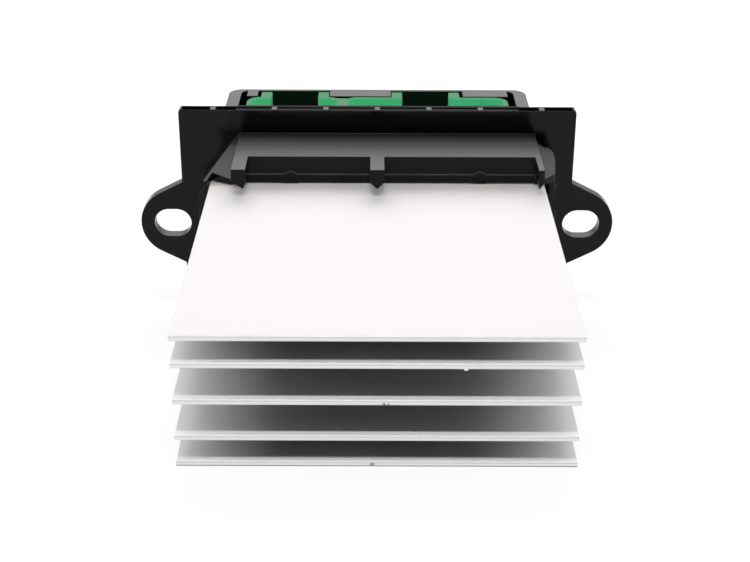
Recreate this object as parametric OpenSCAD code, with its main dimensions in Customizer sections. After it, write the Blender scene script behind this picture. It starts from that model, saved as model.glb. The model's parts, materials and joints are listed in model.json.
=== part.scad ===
// Blower motor resistor: a comb heat sink, a flanged housing with a plug shroud,
// and the regulator electronics between them.
// Frame: X across the fins, Y from the fin tips to the plugs, Z up.
// The origin is on the flange's front face, midway between the two screw slots.

/* [Heat sink] */
// Width of the heat sink across the fins
sink_w = 70; // [64:0.5:74]
// Thickness of each fin
fin_t = 1.1; // [0.8:0.1:1.6]
// Clear gap between an outer fin and its neighbour
outer_gap = 4.1; // [3.5:0.1:5.5]
// Clear gap between two inner fins
inner_gap = 6; // [5:0.1:7.5]
// Length of the fins in front of the base plate
fin_l = 69.8; // [40:0.1:100]
// Thickness of the base plate
base_t = 5; // [4.5:0.1:8]
// Edge radius at the fin tips
tip_r = 0.3; // [0.1:0.05:0.4]
// Height of the heat sink's middle above the line of the screw slots
sink_rise = 2.5; // [0:0.1:4]

/* [Flange] */
// Thickness of the flange and its ears
flange_t = 3; // [2.5:0.1:5]
// Flange edge beyond the hood at the top and bottom
flange_margin = 5.2; // [4:0.1:8]
// Flange edge beyond the hood at each side
flange_side = 4.5; // [3:0.1:6]
// Corner radius of the flange
flange_r = 0.6; // [0.4:0.1:3]
// Distance between the two screw slots
slot_spacing = 91; // [89:0.1:96]
// Width of a screw slot
slot_w = 6.5; // [5:0.1:7]
// Length of a screw slot
slot_l = 8.2; // [7.2:0.1:9]
// Radius of the rounded end of an ear
ear_r = 7.8; // [7:0.1:8.6]
// Ear tip beyond the slot's centre
ear_lip = 7.1; // [6.5:0.1:9]
// Height of an ear where it leaves the flange
ear_root_h = 19.4; // [18.5:0.1:24]
// Depth of the groove along the flange's top edge
groove_d = 1.2; // [0.6:0.1:2]
// Width of the small bridges across that groove
bridge_w = 1.2; // [0.8:0.1:2]

/* [Hood] */
// Wall of the hood
hood_wall = 2; // [1.5:0.1:2.5]
// Free space between the heat sink's ends and the hood
hood_gap = 1.5; // [1:0.1:3]
// Roof's top face above the top fin
hood_rise = 5.85; // [5:0.05:8]
// Roof's reach in front of the flange
roof_l = 14.2; // [13:0.1:18]
// Base plate's back face in front of the flange
seat_l = 8.5; // [7.5:0.1:10]
// Reach of the roof ribs beyond the roof
rib_l = 7.7; // [4:0.1:12]
// Width of the left and middle roof ribs
rib_w = 3; // [2:0.1:5]
// Width of the right roof rib
end_rib_w = 1.3; // [1:0.1:3]
// Width of the slanted keying corner
key_w = 8.6; // [7:0.1:10]
// Height of the slanted keying corner
key_h = 10.9; // [8:0.1:12]
// Width of the right shoulder
shoulder_w = 4.3; // [3.5:0.1:5]
// Step from the roof down to the right shoulder
shoulder_h = 3.05; // [2.2:0.05:3.4]
// Height of the bead along the roof's lower front edge
bead_h = 1.75; // [1:0.05:2.5]
// Forward step of that bead
bead_step = 0.4; // [0.2:0.05:0.8]

/* [Rear box] */
// Plug shroud's rim below the flange's top edge
rim_drop = 1.6; // [0.5:0.1:3]
// Side walls of the rear box
box_wall = 2.85; // [2.6:0.05:4]
// Back wall of the plug shroud
shroud_wall = 1.1; // [1:0.05:1.5]
// Corner radius of the plug shroud
shroud_r = 3; // [1.5:0.1:4]
// Thickness of the shelf under the header
shelf_t = 2; // [1.5:0.1:3]
// Thickness of the rear cover
cover_t = 2; // [1.5:0.1:2.5]

/* [Connector] */
// Height of the header
header_h = 18.7; // [16:0.1:20]
// Wall of the header
header_wall = 1; // [0.8:0.05:1.4]
// Floor of the header
header_floor = 3; // [2:0.1:4]
// Depth of a socket's outside, front to back
socket_d = 9.1; // [8.5:0.1:10]
// Width of the motor socket's outside
motor_socket_w = 21.1; // [20:0.1:24]
// Width of the supply socket's outside
supply_socket_w = 36.5; // [34:0.1:37]
// Free space between the sockets and the shroud's side walls
header_side = 1.6; // [1:0.1:4]
// Latch space behind the sockets
latch_d = 4.1; // [3.5:0.1:6]
// Gap between the two sockets
socket_gap = 0.6; // [0.3:0.1:1.2]
// Width of the latch window in each socket's back wall
latch_w = 10.5; // [8:0.1:12]
// Width of the posts beside a latch window
post_w = 2.4; // [1.5:0.1:3]
// Thickness of the blades and pins
blade_t = 0.8; // [0.6:0.1:1]
// Width of a motor or supply blade
blade_w = 6.3; // [4.8:0.1:6.5]
// Width of a signal pin
pin_w = 2.8; // [1.5:0.1:3]
// Blade tips below the header's rim
blade_drop = 6; // [5:0.1:8]
// Distance between the two motor blades
motor_pitch = 9.6; // [8.5:0.1:10.5]
// Distance between the two supply blades
supply_pitch = 8.6; // [7.8:0.1:9]
// Distance between the two signal pins
pin_pitch = 6; // [5:0.1:6.5]

/* [Electronics] */
// Thickness of the circuit board
board_t = 1.6; // [1:0.1:2]
// Board's front face behind the flange
board_l = 3.5; // [2.5:0.1:4.5]
// Width of a transistor
trans_w = 10.2; // [9:0.1:11]
// Height of a transistor with its tab
trans_h = 15.6; // [14:0.1:16]
// Thickness of a transistor's body
trans_t = 4.4; // [3.5:0.1:5]
// Distance between the two transistors
trans_pitch = 17; // [15:0.1:18]
// Thickness of the thermal pad
pad_t = 0.3; // [0.2:0.05:0.6]

/* [Hidden] */
$fn = 64;

// Clearances and the small amount by which cuts pass a face
slide_gap = 0.15;
press_gap = 0.05;
fin_gap = 0.25;
screw_gap = 0.05;
cut = 1;

// Heat sink levels and stations
gaps = [outer_gap, inner_gap, inner_gap, outer_gap];
sink_h = (len(gaps) + 1) * fin_t + gap_sum(len(gaps));
sink_bottom = sink_rise - sink_h / 2;
sink_top = sink_rise + sink_h / 2;
base_back = -seat_l;
base_front = base_back - base_t;
fin_tip = base_front - fin_l;

// Hood and flange outlines
hood_x = sink_w / 2 + hood_gap + hood_wall;
hood_top = sink_top + hood_rise;
hood_bottom = sink_bottom - hood_rise;
roof_left = -(hood_x - key_w);
roof_right = hood_x - shoulder_w;
shoulder_z = hood_top - shoulder_h;
key_slope = key_h / key_w;
lip_bottom = sink_top + fin_gap;
rib_front = -roof_l - rib_l;
rib_tip_gap = 1.6;
// Place of a side rib's point, as a share of its width
rib_point = 0.8;
rib_tip_z = sink_top + rib_tip_gap;
flange_x = hood_x + flange_side;
flange_top = hood_top + flange_margin;
flange_bottom = hood_bottom - flange_margin;
slot_x = slot_spacing / 2;
ear_x = slot_x + ear_lip - ear_r;
groove_lip = 0.5;
bridge_pitch = 11.15;
bridge_end = 7.4;
bridge_xs = [0, bridge_pitch, 2 * bridge_pitch, flange_x - bridge_end];

// Left wing over the base plate's end: its top falls to the front, its left edge slants out to a tip
wing_fall = 0.28;
wing_root = 0.3;
wing_reach = 1.4;
wing_tip_l = 16.6;
wing_tip_w = 0.9;
wing_bay = 0.5;
wing_nose = 1.6;
// Right cheek: the end of the skirt below the flap, whose top falls towards the front
cheek_fall = 0.15;
cheek_h = 5.8;
cheek_wall = 0.8;
cheek_top_corner = 1.3;
cheek_gap = 0.4;
cheek_inner = sink_w / 2 + cheek_gap;
cheek_bottom = shoulder_z - cheek_h;
// Depth at the flange in which nothing stands out past the hood's outline
clear_l = 2.4;
// Right flap: the falling end of the roof, with its reach past the roof's edge and its round back corner
flap_step = 1.7;
flap_back = 4.9;
flap_corner = [[1.5, 0.2], [0.9, 1.4], [0.7, 3.5]];
flap_inset = 1.2;
flap_bevel = 1.5;
flap_nose = 1.1;
flap_l = roof_l + flap_nose;
// Round pads on the roof's front edge
pad_edges = [11.8, 12.8];
pad_xs = [roof_left + pad_edges[0], roof_right - pad_edges[1]];
pad_r = 1.7;
pad_step = 0.25;
pad_above_bead = 0.65;
pad_z = lip_bottom + bead_h + pad_above_bead - pad_r;

// Core frame that carries the base plate, and the space inside it
core_wall = 2;
core_gap = 0.2;
core_bottom = hood_bottom + hood_wall + core_gap;
seat_t = 2.5;
seat_back = base_back + seat_t;

// Transistors on the back of the base plate
trans_xs = [-trans_pitch / 2, trans_pitch / 2];
trans_front = base_back + pad_t;
trans_back = trans_front + trans_t;
trans_below = 6.5;
trans_bottom = sink_rise - trans_below;
trans_top = trans_bottom + trans_h;
tab_h = 6;
tab_t = 1.3;
tab_hole_edge = 2.7;
tab_z = trans_top - tab_hole_edge;
lead_xs = [-2.54, 0, 2.54];
lead_w = 0.8;
lead_depth = 2.4;
lead_drop = 3.5;
lead_room = 1;
lead_y = trans_front + lead_depth;
lead_z = trans_bottom - lead_drop;

// Screws of the heat sink and the transistors
screw_r = 1.5;
screw_hole_r = 1.65;
screw_head_r = 2.7;
screw_head_h = 1.7;
bore_floor = 1;
screw_bore_l = base_t - bore_floor;
screw_end_gap = 0.5;
// Length and width of a screw's cross recess, as shares of its head's radius
cross_share = [1.1, 0.28];
window_gap = 0.9;
window_top_gap = 0.35;
window_x = trans_pitch / 2 + max(trans_w / 2, screw_head_r) + window_gap;
sink_screw_gap = 1.3;
sink_screw_x = window_x + screw_head_r + sink_screw_gap;
core_side_gap = 0.8;
core_x = sink_screw_x + screw_head_r + core_side_gap + core_wall;
core_top = trans_top + window_top_gap + core_wall;

// Header and its sockets: [outer left edge, outer right edge]
header_x = (motor_socket_w + socket_gap + supply_socket_w) / 2;
motor_span = [-header_x, motor_socket_w - header_x];
supply_span = [header_x - supply_socket_w, header_x];
spans = [motor_span, supply_span];
shroud_front_wall = 2;
front_wall_drop = 0.5;
shroud_front = flange_t + shroud_front_wall;
header_gap = 0.3;
socket_front = shroud_front + header_gap;
socket_back = socket_front + socket_d;
shroud_back = socket_back + latch_d;
post_gap = 0.6;
post_back = shroud_back - post_gap;
socket_r = 3;
latch_l = 10;
web_back = 0.8;
foot_h = 2;
// Front of the shroud blocks between the latch windows and at the right end
block_front = socket_back + header_gap;

// Shelf and the levels of the header that stands on it
rim_z = flange_top - rim_drop;
rim_gap = 0.1;
header_top = rim_z - rim_gap;
shelf_top = header_top - header_h;
shelf_bottom = shelf_top - shelf_t;
floor_top = shelf_top + header_floor;
blade_foot = shelf_top + header_floor / 2;
latch_floor = header_top - latch_l;

// Circuit board, with the middle height of the parts on its back
board_front = flange_t + board_l;
board_back = board_front + board_t;
parts_drop = 2.9;
parts_z = lead_z - parts_drop;
parts_below = 4.6;
board_bottom = parts_z - parts_below;
board_head_gap = 1.5;
board_top = shelf_bottom - board_head_gap;
lead_reach = 1;
lead_end = board_back + lead_reach;

// Rear box and its electronics bay
box_back = shroud_back + shroud_wall;
bay_x = header_x + header_side;
box_x = bay_x + box_wall;
board_side_gap = 3.5;
board_x = bay_x - board_side_gap;
board_foot_gap = 0.5;
bay_bottom = board_bottom - board_foot_gap;
bay_floor = 2.5;
box_bottom = bay_bottom - bay_floor;
cover_front = box_back - cover_t;
cover_ledge = 1.2;

// Posts and screws of the circuit board
post_r = 2.2;
post_shift = 0.5;
post_x = core_x + post_shift;
post_z = (board_bottom + board_top) / 2;
board_bore_r = 1;
board_hole_r = 1.3;
board_head_r = 2;
board_head_h = 1.6;

// Blades and pins
blade_y = (socket_front + socket_back) / 2;
blade_tip = header_top - blade_drop;
motor_mid = (motor_span[0] + motor_span[1]) / 2;
supply_mid = (supply_span[0] + supply_span[1]) / 2;
supply_shift = -7.5;
pin_shift = 8.7;
motor_xs = [for (side = [-1, 1]) motor_mid + side * motor_pitch / 2];
supply_xs = [for (side = [-1, 1]) supply_mid + supply_shift + side * supply_pitch / 2];
pin_xs = [for (side = [-1, 1]) supply_mid + pin_shift + side * pin_pitch / 2];
power_xs = concat(motor_xs, supply_xs);
tail_w = 1.6;
tail_reach = 1;
tail_edge = 2.5;
// Bevel at a blade's tip, as a share of its width
tip_share = 0.2;
tail_z = board_top - tail_edge;

// Snap tongues of the rear cover
tongue_w = 8;
tongue_t = 1.2;
tongue_l = 7.5;
tongue_x = bay_x - slide_gap;
tongue_front = cover_front - tongue_l;
tongue_z = (bay_bottom + shelf_bottom) / 2;
lug_l = 2.5;
lug_h = 1.5;

// Sum of the first n gaps between fins
function gap_sum(n) = n == 0 ? 0 : gaps[n - 1] + gap_sum(n - 1);

// Bottom of fin i
function fin_z(i) = sink_bottom + i * fin_t + gap_sum(i);

// Height of the keying slope at x, moved inwards by a sideways shift
function slope_z(x, shift = 0) = hood_top - (roof_left - (x - shift)) * key_slope;

// A flat shape in (x, z), carried along Y from y0 to y1
module along_y(y0, y1) {
    translate([0, y1, 0]) rotate([90, 0, 0]) linear_extrude(y1 - y0) children();
}

// A flat shape in (y, z), carried along X from x0 to x1
module along_x(x0, x1) {
    translate([x0, 0, 0]) rotate([90, 0, 90]) linear_extrude(x1 - x0) children();
}

// A flat shape in (x, y), carried along Z from z0 to z1
module along_z(z0, z1) {
    translate([0, 0, z0]) linear_extrude(z1 - z0) children();
}

// A box between two corners
module block(low, high) {
    translate(low) cube(high - low);
}

// A round bar along Y from y0 to y1
module bar_y(x, z, r, y0, y1) {
    translate([x, y0, z]) rotate([-90, 0, 0]) cylinder(r = r, h = y1 - y0);
}

// A flat rectangle between two corners, with round corners of radius r
module round_rect(low, high, r) {
    translate([low[0] + r, low[1]]) square([high[0] - low[0] - 2 * r, high[1] - low[1]]);
    translate([low[0], low[1] + r]) square([high[0] - low[0], high[1] - low[1] - 2 * r]);
    for (x = [low[0] + r, high[0] - r], y = [low[1] + r, high[1] - r])
        translate([x, y]) circle(r);
}

// A flat rectangle between two corners, with round corners at its far side only
module far_round_rect(low, high, r) {
    translate(low) square([high[0] - low[0], high[1] - low[1] - r]);
    translate([low[0] + r, low[1]]) square([high[0] - low[0] - 2 * r, high[1] - low[1]]);
    for (x = [low[0] + r, high[0] - r])
        translate([x, high[1] - r]) circle(r);
}

// A pan-head screw along Y, with its head's underside at y and its shank towards -Y
module screw(x, y, z, r, shank_l, head_r, head_h) {
    difference() {
        union() {
            bar_y(x, z, r, y - shank_l, y + head_h / 2);
            bar_y(x, z, head_r, y, y + head_h);
        }
        for (turn = [0, 90])
            translate([x, y + head_h, z]) rotate([0, turn, 0])
                cube([head_r * cross_share[0], head_h, head_r * cross_share[1]], center = true);
    }
}

// Profile of one fin from the base plate to its rounded tip
module fin_profile(z) {
    translate([fin_tip + tip_r, z]) square([base_front - fin_tip - tip_r + base_t / 2, fin_t]);
    translate([fin_tip, z + tip_r]) square([2 * tip_r, fin_t - 2 * tip_r]);
    for (edge = [z + tip_r, z + fin_t - tip_r])
        translate([fin_tip + tip_r, edge]) circle(tip_r);
}

// One extruded comb: base plate, fins and the tapped holes in the plate's back
module heat_sink() {
    color("#c9cbce")
    difference() {
        along_x(-sink_w / 2, sink_w / 2) {
            translate([base_front, sink_bottom]) square([base_t, sink_h]);
            for (i = [0:len(gaps)])
                fin_profile(fin_z(i));
        }
        for (x = trans_xs)
            bar_y(x, tab_z, screw_r, base_back - screw_bore_l, base_back + cut);
        for (x = [-sink_screw_x, sink_screw_x])
            bar_y(x, 0, screw_r, base_back - screw_bore_l, base_back + cut);
    }
}

// Flat outline of one ear, on the +X side: a round end and tangents to the flange's side
module ear_outline() {
    reach = ear_x - flange_x;
    span = norm([reach, ear_root_h / 2]);
    lean = atan2(ear_root_h / 2, -reach) - acos(ear_r / span);
    touch = [ear_x + ear_r * cos(lean), ear_r * sin(lean)];
    translate([ear_x, 0]) circle(ear_r);
    polygon([
        [flange_x - flange_r, ear_root_h / 2], [flange_x, ear_root_h / 2], touch,
        [touch[0], -touch[1]], [flange_x, -ear_root_h / 2], [flange_x - flange_r, -ear_root_h / 2]
    ]);
}

// Flat outline of one screw slot, on the +X side
module slot_outline() {
    half = (slot_l - slot_w) / 2;
    translate([slot_x - half, -slot_w / 2]) square([2 * half, slot_w]);
    for (x = [slot_x - half, slot_x + half])
        translate([x, 0]) circle(slot_w / 2);
}

// Flange plate with its ears, screw slots and grooved top edge
module flange() {
    difference() {
        along_y(0, flange_t) difference() {
            union() {
                round_rect([-flange_x, flange_bottom], [flange_x, flange_top], flange_r);
                ear_outline();
                mirror([1, 0]) ear_outline();
            }
            slot_outline();
            mirror([1, 0]) slot_outline();
        }
        edge_groove();
    }
}

// Groove along the flange's top edge, left out at the bridges
module edge_groove() {
    low = flange_top - groove_d;
    difference() {
        block([-flange_x + flange_r, groove_lip, low],
            [flange_x - flange_r, flange_t - groove_lip, flange_top + cut]);
        for (x = bridge_xs, side = [-1, 1])
            block([side * x - bridge_w / 2, 0, low - cut],
                [side * x + bridge_w / 2, flange_t, flange_top + 2 * cut]);
    }
}

// Flat outline of the hood: keying slope at the left, shoulder at the right
module hood_outline(inset) {
    shift = inset * norm([key_w, key_h]) / key_h;
    left = -hood_x + inset;
    right = hood_x - inset;
    top = hood_top - inset;
    slope_top_x = roof_left + shift - inset / key_slope;
    polygon([
        [left, hood_bottom + inset], [right, hood_bottom + inset], [right, shoulder_z - inset],
        [roof_right - inset, shoulder_z - inset], [roof_right - inset, top],
        [slope_top_x, top], [left, slope_z(left, shift)]
    ]);
}

// Skirt of the hood between the seat plane and the flange
module skirt() {
    along_y(base_back, 0) difference() {
        hood_outline(0);
        hood_outline(hood_wall);
    }
}

// Roof over the base plate, with its front lip, bead and round pads
module roof() {
    front = -roof_l;
    lip_back = front + hood_wall;
    bead_front = front - bead_step;
    block([roof_left, front, hood_top - hood_wall], [roof_right, 0, hood_top]);
    block([roof_left, front, lip_bottom], [roof_right, lip_back, hood_top]);
    block([roof_left, bead_front, lip_bottom], [roof_right, lip_back, lip_bottom + bead_h]);
    intersection() {
        for (x = pad_xs)
            bar_y(x, pad_z, pad_r, bead_front - pad_step, lip_back);
        block([roof_left, rib_front, lip_bottom], [roof_right, 0, hood_top]);
    }
}

// A roof rib from x0 to x1, whose lower edge comes to a point at tip_x
module rib(x0, x1, tip_x) {
    along_y(rib_front, -roof_l + hood_wall)
        polygon([[x0, hood_top], [x1, hood_top], [x1, rib_tip_z + rib_w / 2], [tip_x, rib_tip_z],
            [x0, rib_tip_z + rib_w / 2]]);
}

// Left wing: a falling top over the end of the base plate, with a bay in its front edge
module wing() {
    root = roof_left + rib_w / 2;
    tip = -sink_w / 2 - wing_reach;
    inner = tip + wing_tip_w;
    front = -roof_l - wing_nose;
    intersection() {
        along_z(lip_bottom, hood_top)
            polygon([[root, 0], [roof_left - wing_root, 0], [tip, -wing_tip_l], [inner, -wing_tip_l],
                [inner + wing_tip_w, -roof_l + wing_bay], [inner + 2 * wing_tip_w, -roof_l],
                [roof_left - wing_tip_w, front], [root, front]]);
        along_x(tip, root)
            polygon([[0, hood_top], [-wing_tip_l, hood_top - wing_fall * wing_tip_l],
                [-wing_tip_l, lip_bottom], [0, lip_bottom]]);
        union() {
            along_y(-clear_l, 0) hood_outline(0);
            along_y(-wing_tip_l, -clear_l) square(2 * sink_w, center = true);
        }
    }
}

// Room from x0 to x1 above a top that falls from a height at the flange
module above(z, fall, front, x0, x1) {
    along_x(x0, x1)
        polygon([[0, z], [front, z + fall * front], [front, hood_top + cut], [0, hood_top + cut]]);
}

// Right flap: a falling top past the right rib, over the end of the base plate
module flap() {
    root = roof_right - end_rib_w;
    intersection() {
        along_z(lip_bottom, hood_top)
            polygon(concat(
                [[root, 0], [roof_right, 0], [roof_right, -clear_l], [roof_right + flap_step, -flap_back]],
                [for (corner = flap_corner) [hood_x - corner[0], -flap_back - corner[1]]],
                [[hood_x - flap_inset, -flap_l + flap_bevel], [cheek_inner, -flap_l], [root, -flap_l]]));
        along_x(root, hood_x)
            polygon([[0, hood_top], [-flap_l, hood_top - wing_fall * flap_l],
                [-flap_l, lip_bottom], [0, lip_bottom]]);
    }
}

// Plan of the right cheek: it begins at x behind the seat plane, and past its wall in front of it
module cheek_plan(x) {
    nose = cheek_inner + cheek_wall;
    front = -flap_l + flap_bevel;
    widest = flap_corner[2];
    polygon([[x, 0], [x, base_back], [nose, base_back], [nose, front], [hood_x - flap_inset, front],
        [hood_x - widest[0], -flap_back - widest[1]], [hood_x, -clear_l], [hood_x, 0]]);
}

// Solid end of the skirt at the right, beside the hood's pocket
module cheek() {
    along_z(cheek_bottom, shoulder_z) cheek_plan(cheek_inner);
}

// What is cut off the right cheek: all above its falling top, and what stands out past its plan
module cheek_trim() {
    left = cheek_inner + cheek_wall;
    front = -flap_l - cut;
    above(shoulder_z, cheek_fall, front, left, hood_x + cut);
    along_y(front, 0)
        polygon([[hood_x - cheek_top_corner, shoulder_z],
            [hood_x + cut, shoulder_z - cheek_top_corner - cut], [hood_x + cut, hood_top]]);
    along_z(cheek_bottom, hood_top) difference() {
        translate([left, front]) square([hood_x + cut - left, -front]);
        cheek_plan(left - cut);
    }
}

// Core frame that the base plate is screwed to, with windows for the transistors
module core() {
    difference() {
        block([-core_x, base_back, core_bottom], [core_x, 0, core_top]);
        block([-core_x + core_wall, seat_back, core_bottom + core_wall],
            [core_x - core_wall, cut, core_top - core_wall]);
        block([-window_x, base_back - cut, lead_z - lead_room], [window_x, 0, core_top - core_wall]);
        for (x = [-sink_screw_x, sink_screw_x])
            bar_y(x, 0, screw_hole_r, base_back - cut, 0);
    }
}

// Plan outline of the rear box, with round far corners
module box_plan(inset, front, r) {
    far_round_rect([-box_x + inset, front], [box_x - inset, box_back - inset], r);
}

// Rear box: electronics bay below the shelf, plug shroud above it
module rear_box() {
    difference() {
        union() {
            along_z(box_bottom, rim_z) box_plan(0, flange_t - cut, shroud_r);
            block([-bay_x, flange_t - cut, shelf_top],
                [bay_x, shroud_front, flange_top - front_wall_drop]);
        }
        block([-bay_x, flange_t - 2 * cut, bay_bottom], [bay_x, box_back + cut, shelf_bottom]);
        cover_seat(0);
        difference() {
            along_z(shelf_top, rim_z + cut)
                far_round_rect([-bay_x, shroud_front], [bay_x, shroud_back], shroud_r - shroud_wall);
            shroud_blocks();
        }
        for (x = concat(power_xs, pin_xs))
            tail_slot(x);
        for (side = [0, 1])
            cover_window(side);
    }
}

// Blocks that fill the shroud behind the sockets, between the latch windows and at both ends
module shroud_blocks() {
    reach = latch_w / 2 + post_w + slide_gap;
    end_reach = reach + post_gap;
    block([motor_span[0] - header_gap, block_front, floor_top],
        [motor_mid - end_reach, box_back, rim_z + cut]);
    block([motor_mid + reach, block_front, floor_top], [supply_mid - reach, box_back, rim_z + cut]);
    block([supply_mid + end_reach, block_front, floor_top],
        [supply_span[1] + header_gap, box_back, rim_z + cut]);
}

// Slot in the shelf for a blade's tail
module tail_slot(x) {
    half_w = tail_w / 2 + slide_gap;
    half_t = blade_t / 2 + slide_gap;
    block([x - half_w, blade_y - half_t, shelf_bottom - cut],
        [x + half_w, blade_y + half_t, shelf_top + cut]);
}

// Recess that the rear cover drops into, or the cover's own plate when it is inset
module cover_seat(inset) {
    edge = cover_ledge - inset;
    block([-bay_x - edge, cover_front, bay_bottom - edge],
        [bay_x + edge, box_back + (inset > 0 ? 0 : cut), shelf_bottom + edge]);
}

// Window in a side wall for a snap lug
module cover_window(side) {
    half = tongue_w / 2 + slide_gap;
    back = tongue_front + lug_l + 2 * slide_gap;
    mirror([side, 0, 0])
        block([bay_x - cut, tongue_front, tongue_z - half], [box_x + cut, back, tongue_z + half]);
}

// Triangular stays between the rear box and the flange
module stays() {
    stay_t = 1.6;
    stay_edge = 2;
    stay_rise = 4;
    reach = flange_x - box_x - stay_edge;
    outer = box_x + reach;
    back = flange_t + reach;
    for (side = [0, 1], z = [box_bottom + stay_rise, shelf_top + stay_rise])
        mirror([side, 0, 0]) along_z(z, z + stay_t)
            polygon([[box_x - cut, flange_t - cut], [outer, flange_t - cut], [outer, flange_t],
                [box_x, back], [box_x - cut, back]]);
}

// Posts behind the flange that carry the circuit board
module board_posts() {
    for (x = [-post_x, post_x])
        difference() {
            bar_y(x, post_z, post_r, 0, board_front);
            bar_y(x, post_z, board_bore_r, flange_t - cut, board_front + cut);
        }
}

// Black moulding: flange, hood, core frame, rear box and shroud in one piece
module housing() {
    color("#26272a")
    union() {
        difference() {
            union() {
                flange();
                difference() {
                    union() {
                        skirt();
                        cheek();
                    }
                    above(hood_top, wing_fall, base_back - cut, -hood_x - cut, roof_left);
                    cheek_trim();
                }
                core();
                rear_box();
            }
            block([-core_x + core_wall, -cut, core_bottom + core_wall],
                [core_x - core_wall, flange_t + cut, shelf_bottom]);
        }
        roof();
        rib(roof_left, roof_left + rib_w, roof_left + rib_w * rib_point);
        rib(-rib_w / 2, rib_w / 2, 0);
        rib(roof_right - end_rib_w, roof_right, roof_right - end_rib_w * rib_point);
        wing();
        flap();
        stays();
        board_posts();
    }
}

// Lid of the electronics bay, with a snap tongue at each side
module rear_cover() {
    inner = tongue_x - tongue_t;
    root = cover_front + cut;
    lug_back = tongue_front + lug_l;
    color("#202124")
    union() {
        cover_seat(slide_gap);
        for (side = [0, 1])
            mirror([side, 0, 0]) along_z(tongue_z - tongue_w / 2, tongue_z + tongue_w / 2)
                polygon([[inner, root], [inner, tongue_front], [tongue_x, tongue_front + slide_gap],
                    [bay_x + lug_h, lug_back], [tongue_x, lug_back + slide_gap], [tongue_x, root]]);
    }
}

// Walls of one socket with its far corners rounded
module socket_walls(span) {
    mid = (span[0] + span[1]) / 2;
    inner_r = socket_r - header_wall;
    wall_front = socket_back - header_wall;
    difference() {
        union() {
            along_z(shelf_top, header_top)
                far_round_rect([span[0], socket_front], [span[1], socket_back], socket_r);
            for (post_left = [mid - latch_w / 2 - post_w, mid + latch_w / 2])
                block([post_left, wall_front, shelf_top], [post_left + post_w, post_back, header_top]);
        }
        along_z(floor_top, header_top + cut)
            far_round_rect([span[0] + header_wall, socket_front + header_wall],
                [span[1] - header_wall, wall_front], inner_r);
        block([mid - latch_w / 2, wall_front - cut, latch_floor],
            [mid + latch_w / 2, post_back + cut, header_top + cut]);
    }
}

// Slot in the header's floor for a blade of width w, with its narrow tail below
module blade_slot(x, w) {
    half_t = blade_t / 2 + press_gap;
    half_w = w / 2 + press_gap;
    half_tail = tail_w / 2 + press_gap;
    block([x - half_w, blade_y - half_t, blade_foot], [x + half_w, blade_y + half_t, floor_top + cut]);
    block([x - half_tail, blade_y - half_t, shelf_top - cut],
        [x + half_tail, blade_y + half_t, floor_top]);
}

// Green insert: foot plate, two sockets and their latch posts
module connector_header() {
    color("#2faf6b")
    difference() {
        union() {
            along_z(shelf_top, shelf_top + foot_h)
                far_round_rect([-bay_x + slide_gap, shroud_front + slide_gap],
                    [bay_x - slide_gap, shroud_back - slide_gap], shroud_r - shroud_wall);
            for (span = spans)
                socket_walls(span);
            block([motor_span[1] - header_wall, socket_front, shelf_top],
                [supply_span[0] + header_wall, socket_back - web_back, header_top]);
        }
        for (x = power_xs)
            blade_slot(x, blade_w);
        for (x = pin_xs)
            blade_slot(x, pin_w);
    }
}

// Flat blade with a pointed tip, shoulders in the header's floor and a bent tail
module blade(x, w) {
    taper = w * tip_share;
    color("#c3bfb3")
    union() {
        translate([x, 0, 0]) along_y(blade_y - blade_t / 2, blade_y + blade_t / 2)
            polygon([[-w / 2, blade_foot], [-w / 2, blade_tip - taper], [-w / 2 + taper, blade_tip],
                [w / 2 - taper, blade_tip], [w / 2, blade_tip - taper], [w / 2, blade_foot]]);
        block([x - tail_w / 2, blade_y - blade_t / 2, tail_z - blade_t / 2],
            [x + tail_w / 2, blade_y + blade_t / 2, blade_foot + cut]);
        block([x - tail_w / 2, board_front - tail_reach, tail_z - blade_t / 2],
            [x + tail_w / 2, blade_y + blade_t / 2, tail_z + blade_t / 2]);
    }
}

// Circuit board with its screw holes and the holes for tails and leads
module circuit_board() {
    color("#2d5f3a")
    difference() {
        block([-board_x, board_front, board_bottom], [board_x, board_back, board_top]);
        for (x = [-post_x, post_x])
            bar_y(x, post_z, board_hole_r, board_front - cut, board_back + cut);
        for (x = concat(power_xs, pin_xs))
            block([x - tail_w / 2 - slide_gap, board_front - cut, tail_z - blade_t / 2 - slide_gap],
                [x + tail_w / 2 + slide_gap, board_back + cut, tail_z + blade_t / 2 + slide_gap]);
        for (x = trans_xs, step = lead_xs)
            block([x + step - lead_w / 2 - slide_gap, board_front - cut, lead_z - lead_w / 2 - slide_gap],
                [x + step + lead_w / 2 + slide_gap, board_back + cut, lead_z + lead_w / 2 + slide_gap]);
    }
}

// Two screws that hold the board on its posts
module board_screws() {
    color("#b9bcc0")
    for (x = [-post_x, post_x])
        screw(x, board_back, post_z, board_bore_r - screw_gap, board_t + board_l - screw_end_gap,
            board_head_r, board_head_h);
}

// Transistor: a thick moulded body below a thin drilled tab
module power_transistor(x) {
    left = x - trans_w / 2;
    right = x + trans_w / 2;
    tab_back = trans_front + tab_t;
    color("#1d1d1f")
    difference() {
        union() {
            block([left, trans_front, trans_bottom], [right, trans_back, trans_top - tab_h]);
            block([left, trans_front, trans_bottom], [right, tab_back, trans_top]);
        }
        bar_y(x, tab_z, screw_hole_r, trans_front - cut, tab_back + cut);
    }
}

// Six legs, bent from the transistors back through the board
module transistor_leads() {
    color("#bdbfc2")
    for (x = trans_xs, step = lead_xs)
        union() {
            block([x + step - lead_w / 2, lead_y - lead_w / 2, lead_z - lead_w / 2],
                [x + step + lead_w / 2, lead_y + lead_w / 2, trans_bottom]);
            block([x + step - lead_w / 2, lead_y - lead_w / 2, lead_z - lead_w / 2],
                [x + step + lead_w / 2, lead_end, lead_z + lead_w / 2]);
        }
}

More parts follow.
